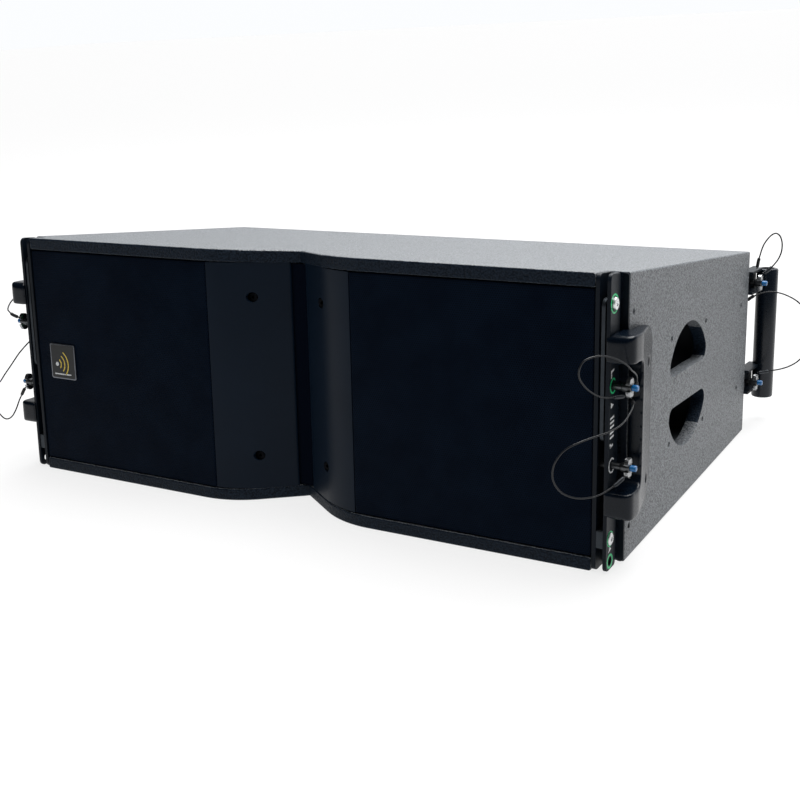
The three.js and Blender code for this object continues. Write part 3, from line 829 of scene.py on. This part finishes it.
def make_shell(finishes):
    """The wedge, before it is hollowed: one skin for the top, bottom, sides and rear."""
    half = FRONT_WIDTH / 2
    right = [(half, 0, 3), (half, CORNER_DEPTH), (WIDTH / 2, CORNER_DEPTH), (WIDTH / 2, DEPTH)]
    left = [(-x, *rest) for x, *rest in reversed(right)]
    plan = rounded(front_line(-VEE_HALF_WIDTH, VEE_HALF_WIDTH, 0, 48) + right + left)
    shell = taper(prism(plan, "Z", -1, 1))
    bevel_edges(shell, 4.5, 5)
    panels = ["top_panel", "bottom_panel", "rear_panel", "side_panel_left", "side_panel_right"]
    return piece("cabinet_shell", shell, finishes["coating"], replaces=panels)


def hollow_out(cabinet):
    """Cuts the inside, the open front, the hand holes and the connectors' window."""
    front = FRONT_WIDTH / 2
    side = WIDTH / 2 - PLY
    rear = DEPTH - PLY
    outline = [(-front - 5, -20), (front + 5, -20), (front + 5, 14.5), (front - PLY, 14.5), (front - PLY, 50)]
    outline += [(side, 50), (side, rear)]
    outline += [(-x, y) for x, y in outline[:1:-1]]
    carve(cabinet, taper(prism(outline, "Z", -1, 1), LIP), edge=1.5, segments=3)
    for mirror in SIDES.values():
        for half in (-1, 1):
            carve(cabinet, prism(hand_hole(half), "X", WIDTH / 2 - 40, WIDTH / 2 + 20), mirror)
    window = prism(rounded(rectangle(-60, -35, 60, 35)), "Y", rear - 20, DEPTH + 20)
    carve(cabinet, window, edge=3.0, segments=4)


def sink_side_screws(cabinet, finishes):
    """Small countersunk screws in both sides, each in a dent of its own."""
    dents = bmesh.new()
    for mirror in SIDES.values():
        for y, z in SIDE_SCREWS:
            dent = turned([(0, -2.2), (2.6, -2.2), (3.6, 0.3), (0, 0.3)], (WIDTH / 2, y, z), "X", 16)
            if mirror < 0:
                bmesh.ops.scale(dent, vec=(-1, 1, 1), verts=dent.verts)
                bmesh.ops.reverse_faces(dent, faces=dent.faces)
            copy = bpy.data.meshes.new("dent")
            dent.to_mesh(copy)
            dents.from_mesh(copy)
            dent.free()
    carve(cabinet, dents)
    head = [(0, -2.1), (2.5, -2.1), (2.5, -1.6), (1.2, -1.3), (0, -1.9)]
    for side, sign in SIDES.items():
        screws = bmesh.new()
        for y, z in SIDE_SCREWS:
            add_turned(screws, head, (WIDTH / 2, y, z), "X", 16)
        piece(f"side_screws_{side}", screws, finishes["screw"], side=sign)


def make_cabinet(finishes):
    cabinet = make_shell(finishes)
    hollow_out(cabinet)
    # Paints shade onto the cabinet's forward-facing faces.
    paint_front_shade(cabinet, finishes["lip_painted_shade_coating"])
    sink_side_screws(cabinet, finishes)


GRILLE = {"inner": 98.1, "outer": 376.9, "half_height": 134.7, "fold_radius": 2.0}


def make_grilles(finishes):
    """Folded trays of perforated sheet."""
    inner, outer, half, fold = GRILLE.values()
    for side, sign in SIDES.items():
        tray = prism(rounded(rectangle(inner, -half, outer, half, 3)), "Y", 1.5, 12)
        front = [e for e in tray.edges if all(v.co.y < 2 for v in e.verts)]
        bmesh.ops.bevel(
            tray, geom=front, offset=fold, segments=4, profile=0.5, affect="EDGES", clamp_overlap=True
        )
        name = f"grille_sheet_{side}"
        material = finishes["perforated"]
        piece(name, tray, material, side=sign, replaces=[f"grille_{side}"])


FIN = {"inner": 10, "outer": 97.5, "half_height": 134.6, "thickness": 3.5, "roll": 6}
FIN_SCREW = {"x": 47.5, "z": 94, "hole_radius": 5.8, "margin": 8}


def fin_shape():
    """A strip that follows the front and rolls back beside the slot, cut across near its screws."""
    inner, outer, half, thickness, roll = FIN.values()
    line = front_line(inner + roll, outer, 1, 40)
    edge = [(inner + drop * drop / roll, line[0][1] + roll - drop) for drop in range(roll)]
    back = [(x, y + thickness) for x, y in reversed(line)]
    fin = prism(edge + line + back, "Z", -half, half)
    bevel_edges(fin, 0.8, 2, 70)
    z, margin = FIN_SCREW["z"], FIN_SCREW["margin"]
    for cut in (-z - margin, margin - z, z - margin, z + margin):
        parts = fin.verts[:] + fin.edges[:] + fin.faces[:]
        bmesh.ops.bisect_plane(fin, geom=parts, plane_co=(0, 0, cut), plane_no=(0, 0, 1))
    return fin


def make_fins(finishes):
    """Swept panels beside the centre slot, each with two screws in deep holes."""
    x, z, radius, _ = FIN_SCREW.values()
    head = [(0, 9), (5.4, 9), (5.4, 2.8), (4.6, 1.8), (1.9, 1.8), (1.9, 4.4), (0, 4.4)]
    for side, sign in SIDES.items():
        name, material = f"fin_panel_{side}", finishes["fin"]
        made = piece(name, fin_shape(), material, side=sign, replaces=[f"fin_{side}"])
        holes = bmesh.new()
        screws = bmesh.new()
        for height in (-z, z):
            add_rod(holes, radius, "Y", (x, 0, height), 0, 50, 32)
            add_turned(screws, head, (x, front_depth(x) + 1.4, height), "Y", 32)
        carve(made, holes, sign, 0.5)
        piece(f"fin_screws_{side}", screws, finishes["dark_screw"], side=sign)


def make_slot_shade_sheet(finishes):
    """A near-black sheet behind the slot between the fins: painted shade for the slot's shaded depth."""
    sheet = prism(rounded(rectangle(-36, -131, 36, 131, 2)), "Y", 50.4, 51.4)
    piece("slot_shade_sheet", sheet, finishes["slot_shade"])


def make_badge(finishes):
    """A small dark plate with a generic mark: a dot and three sound waves, above a plain line."""
    plate = prism(rounded(rectangle(-356, -27, -314, 18, 3)), "Y", -0.3, 1.2)
    bevel_edges(plate, 0.5, 2)
    piece("badge_cover", plate, finishes["badge"], replaces=["badge_plate"])
    rim = prism(rounded(rectangle(-354.5, -25.5, -315.5, 16.5, 2)), "Y", -0.38, -0.25)
    piece("badge_face", rim, finishes["screw"])
    mark = bmesh.new()
    for i, radius in enumerate((7, 13, 19)):
        add_arc(mark, (-345, -8), radius, 1.5, -0.75, 0.95, "Y", (-0.55, -0.36))
    piece("badge_waves", mark, finishes["yellow"])
    base = prism(rounded(rectangle(-350, -21.5, -322, -20, 0.6)), "Y", -0.55, -0.36)
    add_rod(base, 2.6, "Y", (-345, 0, -8), -0.55, -0.36, 24)
    piece("badge_line", base, finishes["white"])


# ---- Pins ----
# Distances along a pin from the outer plate's face.
PIN_TIP, PIN_HUB, PIN_END, PIN_BUTTON = -16, 11, 19.4, 25.6
PIN_BORE_FLOOR = 12.4
WING = [(-6.2, 3.5, 0), (6.2, 3.5, 0), (5, 8, 3), (2, 10.5, 2), (-2, 10.5, 2), (-5, 8, 3)]


def pin_rod(centre):
    """Shaft with four locking balls, and a collar whose bore takes the button."""
    profile = [(0, PIN_TIP), (2.6, PIN_TIP), (3.5, PIN_TIP + 1.5), (3.5, 9.5), (4.2, 10), (4.8, PIN_HUB)]
    profile += [(4.8, PIN_END - 0.6), (4.4, PIN_END), (3.3, PIN_END)]
    profile += [(3.3, PIN_BORE_FLOOR), (0, PIN_BORE_FLOOR)]
    rod = turned(profile, centre, "X")
    x, y, z = centre
    half_ball = [(0, -0.9), (0.64, -0.64), (0.9, 0), (0.64, 0.64), (0, 0.9)]
    for turn in range(4):
        angle = math.pi / 4 + turn * math.pi / 2
        ball = (x - 12.5, y + 3.0 * math.cos(angle), z + 3.0 * math.sin(angle))
        add_turned(rod, half_ball, ball, "X", 10)
    return rod


def pin_wing(y, z):
    """The two flat lobes of the grip, one on each side of the collar."""
    wing = bmesh.new()
    for up in (-1, 1):
        lobe = [(y + a, z + up * b, radius) for a, b, radius in WING]
        add_prism(wing, rounded(lobe, 4), "X", OUTER_FACE + 15, OUTER_FACE + 19)
    return bevel_edges(wing, 0.4, 2, 50)


def pin_button(centre):
    """A cap just clear of the collar, on a thin stem that runs down its bore."""
    base = PIN_END + 0.3
    profile = [(0, base), (3.1, base), (3.1, PIN_BUTTON - 0.9), (2.8, PIN_BUTTON - 0.3)]
    profile += [(2.1, PIN_BUTTON), (0, PIN_BUTTON + 0.1)]
    return add_rod(turned(profile, centre, "X"), 1.7, "X", centre, 16.3, PIN_END + 1, 16)


def make_pin(name, side, y, z, finishes):
    """A ball-lock pin: shaft, collar, thin winged grip and blue button."""
    sign = SIDES[side]
    centre = (OUTER_FACE, y, z)
    body = f"{name}_pin_{side}"
    button = f"{name}_button_{side}"
    piece(f"{name}_shaft_{side}", pin_rod(centre), finishes["shaft"], body, sign)
    piece(f"{name}_grip_{side}", pin_wing(y, z), finishes["pin"], body, sign, [body])
    piece(f"{name}_cap_{side}", pin_button(centre), finishes["blue"], button, sign, [button])


def make_pins(finishes):
    for side in SIDES:
        make_pin("front_upper", side, HOLE_Y, FRONT_PIN_Z, finishes)
        make_pin("front_lower", side, HOLE_Y, -FRONT_PIN_Z, finishes)
        make_pin("rear_upper", side, REAR_PIN_Y, REAR_PIN_Z[1], finishes)
        make_pin("rear_lower", side, REAR_PIN_Y, REAR_PIN_Z[0], finishes)


# ---- Front rigging ----
def tapered(y0, y1, inset, front_radius=0, back_radius=0):
    return [
        (y0, inset - roof(y0), front_radius),
        (y1, inset - roof(y1), back_radius),
        (y1, roof(y1) - inset, back_radius),
        (y0, roof(y0) - inset, front_radius),
    ]


def make_channel(side, finishes):
    """The inner plate with the pins' holes, its flange, and the web that joins it to the outer plate."""
    sign = SIDES[side]
    steel = finishes["black_steel"]
    plate = prism(rounded(tapered(0.5, 32, 0.5, 8)), "X", FRONT_WIDTH / 2 + 0.3, SLOT[0])
    bevel_edges(plate, 0.5, 2)
    name, node = f"channel_{side}", f"front_channel_{side}"
    channel = piece(name, plate, steel, side=sign, replaces=[node])
    holes = bmesh.new()
    for z in (-FRONT_PIN_Z, FRONT_PIN_Z):
        add_rod(holes, HOLE_RADIUS, "X", (0, HOLE_Y, z), 370, 385, 32)
    carve(channel, holes, sign, 0.3)
    make_flange(side, finishes)
    web = prism(rounded(tapered(26, 32, 1)), "X", SLOT[0], SLOT[1] - 0.3)
    add_prism(web, rounded(rectangle(1, -125, 27, -106, 1.5)), "X", SLOT[0], SLOT[1] - 0.3)
    piece(f"channel_web_{side}", web, finishes["link"], side=sign)


def make_flange(side, finishes):
    """Thin steel over the side panel's front edge, above, between and below the guard's blocks."""
    flange = bmesh.new()
    x0, x1 = OUTER_FACE + 0.1, WIDTH / 2 - 0.2
    top = roof(CORNER_DEPTH) - 1
    for low, high, radius in ((92.4, top, 4), (-63.6, 63.6, 0), (-top, -92.4, 4)):
        outer = radius if high == top else 0
        under = radius if low == -top else 0
        corners = [(x0, low), (x1, low, under), (x1, high, outer), (x0, high)]
        add_prism(flange, rounded(corners), "Y", CORNER_DEPTH - 1.8, CORNER_DEPTH - 0.1)
    piece(f"channel_flange_{side}", flange, finishes["black_steel"], side=SIDES[side])


def make_outer_plate(side, finishes):
    sign = SIDES[side]
    steel = finishes["black_steel"]
    plate = prism(rounded(tapered(0, 25, 0.5, 8, 4)), "X", SLOT[1], OUTER_FACE)
    bevel_edges(plate, 0.6, 3)
    name, node = f"outer_plate_{side}", f"front_outer_plate_{side}"
    made = piece(name, plate, steel, side=sign, replaces=[node])
    holes = bmesh.new()
    for z, radius in ((FRONT_PIN_Z, HOLE_RADIUS), (-FRONT_PIN_Z, HOLE_RADIUS), (PARKING_HOLE_Z, 4.5)):
        add_rod(holes, radius, "X", (0, HOLE_Y, z), 380, 400, 32)
    carve(made, holes, sign, 0.4)
    make_bolts(side, finishes)
    make_green_rings(side, finishes)
    make_white_marks(side, finishes)


def make_bolts(side, finishes):
    """Two domed bolt heads with sunk centres."""
    bolts = bmesh.new()
    for z, height in zip(PLATE_BOLT_Z, (3, 2)):
        profile = [(0, -1), (6.6, -1), (6.6, height * 0.45), (5.8, height * 0.8), (4.2, height)]
        profile += [(2.4, height), (2.2, height * 0.5), (0, height * 0.5)]
        add_turned(bolts, profile, (OUTER_FACE, HOLE_Y, z), "X")
    piece(f"plate_bolts_{side}", bolts, finishes["bolt"], side=SIDES[side])


PRINT_DEPTHS = (OUTER_FACE - 0.05, OUTER_FACE + 0.12)


def make_green_rings(side, finishes):
    """Green rings at the two bolts, the parking hole and, open to the back, the upper pin."""
    full, open_arc = (0, 2 * math.pi), (0.25 * math.pi, 1.75 * math.pi)
    green = bmesh.new()
    add_arc(green, (HOLE_Y, PLATE_BOLT_Z[0]), 8.8, 1.9, *full, "X", PRINT_DEPTHS, 40)
    add_arc(green, (HOLE_Y, PARKING_HOLE_Z), 6.6, 2.4, *full, "X", PRINT_DEPTHS, 40)
    add_arc(green, (HOLE_Y, PLATE_BOLT_Z[1]), 7.6, 1.2, *full, "X", PRINT_DEPTHS, 40)
    add_arc(green, (HOLE_Y, FRONT_PIN_Z), 7.0, 1.8, *open_arc, "X", PRINT_DEPTHS)
    piece(f"green_rings_{side}", green, finishes["green"], side=SIDES[side])


def make_white_marks(side, finishes):
    """An arc at the lower pin, and plain strokes and arrows in place of lettering."""
    white = bmesh.new()
    add_arc(white, (HOLE_Y, -FRONT_PIN_Z), 7.0, 1.6, 0.25 * math.pi, 1.75 * math.pi, "X", PRINT_DEPTHS)
    shapes = []
    for z in (6.8, 2.4, -2.0, -8.0, -12.4):
        shapes.append([(4, z), (14, z + 1.2), (14, z + 3.2), (4, z + 2.0)])
    for z, lean in ((53, 1), (-22, -1)):
        shapes.append([(4, z), (12, z + 2), (12, z + 4), (4, z + 2.4)])
        shapes.append([(4, z), (6.4, z), (6.4, z - 5 * lean), (4, z - 5 * lean)])
    shapes += [[(5, 24), (12, 21), (5, 18)], [(6, -130), (13, -127), (9, -124)]]
    for shape in shapes:
        add_prism(white, shape, "X", *PRINT_DEPTHS)
    piece(f"white_marks_{side}", white, finishes["white"], side=SIDES[side])


def slotted_bar(side, name, y0, y1, z0, z1, eye_z, slot_z, finishes):
    """A flat link with round ends, an eye near its top and a long slot."""
    sign = SIDES[side]
    middle = (y0 + y1) / 2
    x0, x1 = SLOT[0] + 1.7, SLOT[1] - 1.6
    bar = prism(rounded(rectangle(y0, z0, y1, z1, (y1 - y0) / 2 - 0.1)), "X", x0, x1)
    bevel_edges(bar, 0.5, 2)
    body = f"{name}_link_{side}"
    made = piece(f"{name}_bar_{side}", bar, finishes["link"], body, sign, [body])
    slot = rectangle(middle - 4.2, slot_z[0], middle + 4.2, slot_z[1], 4)
    holes = prism(rounded(slot), "X", x0 - 1, x1 + 1)
    add_rod(holes, 4.5, "X", (0, middle, eye_z), x0 - 1, x1 + 1, 32)
    carve(made, holes, sign)


GUARD_SIDE = [(-3, -92, 8), (95, -92, 40), (95, 92, 40), (-3, 92, 8)]
GUARD_SIDE += [(-3, 64, 3), (33, 64, 14), (33, -64, 14), (-3, -64, 3)]


GUARD_SCREW_Y = 68
GUARD_SCREW_Z = (54, -68)


def guard_plan():
    """The guard from above: a block at the front that thins to a flange on the side panel."""
    wall, lip, step = WIDTH / 2 + 0.3, SLOT[1] + 0.3, OUTER_FACE + 0.4
    plan = [(lip, -3, 1), (418.3, -3, 11), (418.5, 22, 6), (415.5, 36, 6), (403.5, 92, 2)]
    plan += [(wall, 95), (wall, CORNER_DEPTH - 0.4), (step, CORNER_DEPTH - 0.4), (step, -0.4), (lip, -0.4)]
    return prism(rounded(plan, 10), "Z", -93, 93)


def make_guard(side, finishes):
    """The moulded guard that wraps the channel's front edge above and below the pins."""
    sign = SIDES[side]
    moulded = finishes["guard"]
    body = new_object("guard_plan", guard_plan(), moulded, sign)
    block = prism(rounded(GUARD_SIDE, 14), "X", SLOT[1] - 0.7, 421)
    name, node = f"guard_{side}", f"pin_guard_{side}"
    guard = piece(name, block, moulded, side=sign, replaces=[node])
    common = guard.modifiers.new("common", "BOOLEAN")
    common.operation = "INTERSECT"
    common.solver = "EXACT"
    common.object = body
    bake(guard)
    bpy.data.objects.remove(body)
    holes = bmesh.new()
    for z in GUARD_SCREW_Z:
        add_rod(holes, 4.5, "X", (0, GUARD_SCREW_Y, z), 403.5, 425, 32)
    carve(guard, holes, sign)
    melt(guard, 1.0, 40)
    screws = bmesh.new()
    head = [(0, 0), (4.1, 0), (4.1, 1.8), (3.2, 2.4), (1.5, 2.4), (1.5, 1.0), (0, 1.0)]
    for z in GUARD_SCREW_Z:
        add_turned(screws, head, (403.6, GUARD_SCREW_Y, z), "X", 24)
    piece(f"guard_screws_{side}", screws, finishes["dark_screw"], side=sign)


# ---- Rear rigging ----
GRIP = {"x": 408, "y": 516, "radius": 13.5, "low": -82, "high": 88}


def make_rear(side, finishes):
    """The bracket, and the grip tube with a sunk, chamfered cap at each end."""
    soften(f"rear_bracket_{side}", 0.6, finishes["black_steel"])
    x, y, radius, low, high = GRIP.values()
    end = [(0, 3), (8, 3), (8.6, 0), (radius - 2.2, 0), (radius - 0.7, 0.7), (radius, 2.2)]
    profile = [(r, low + h) for r, h in end] + [(r, high - h) for r, h in reversed(end)]
    name, node = f"grip_tube_{side}", f"rear_grip_{side}"
    tube_shape = turned(profile, (x, y, 0), "Z", 56)
    piece(name, tube_shape, finishes["grip"], side=SIDES[side], replaces=[node])


def make_rigging(finishes):
    for side in SIDES:
        make_channel(side, finishes)
        make_outer_plate(side, finishes)
        slotted_bar(side, "front", 1, 19, -16, 125.5, 117, (-8.5, 45), finishes)
        make_guard(side, finishes)
        slotted_bar(side, "rear", 464, 480, -38, 97, 89, (30, 79.5), finishes)
        make_rear(side, finishes)


# ---- What is seen through the hand holes and from behind ----
def make_connectors(finishes):
    """Two round sockets in the connector plate: a rim, a deep well and a core."""
    face = DEPTH + 3.1
    rim = [(0, -14), (8.8, -14), (8.8, 2.4), (9.4, 3), (13.6, 3), (15, 1.6), (15, 0)]
    rim += [(12, 0), (12, -20), (0, -20)]
    core = [(0, -14), (4, -14), (4, -0.6), (3.4, 0), (0, 0)]
    for name, x in (("input_connector", -30), ("link_connector", 30)):
        shell = turned(rim, (x, face, 0), "Y", 48)
        add_turned(shell, core, (x, face, 0), "Y", 24)
        piece(f"{name}_shell", shell, finishes["nylon"], replaces=[name])


def make_inner_parts(finishes):
    soften("waveguide", 0.8, finishes["nylon"])
    soften("front_baffle", 0.5, finishes["board"])
    soften("horn_driver", 1.0, finishes["casting"])
    soften("connector_plate", 0.5, finishes["black_steel"])
    for side in SIDES:
        soften(f"handle_cup_{side}", 4.0, finishes["pocket"])
        soften(f"woofer_frame_{side}", 0.8, finishes["casting"])
        soften(f"woofer_cone_{side}", 0.4, finishes["cone"])
    make_connectors(finishes)


def main():
    make_camera()
    finishes = make_materials()
    make_lanyards(finishes)
    make_studio()
    make_cabinet(finishes)
    make_grilles(finishes)
    make_fins(finishes)
    make_slot_shade_sheet(finishes)
    make_badge(finishes)
    make_pins(finishes)
    make_rigging(finishes)
    make_inner_parts(finishes)


main()
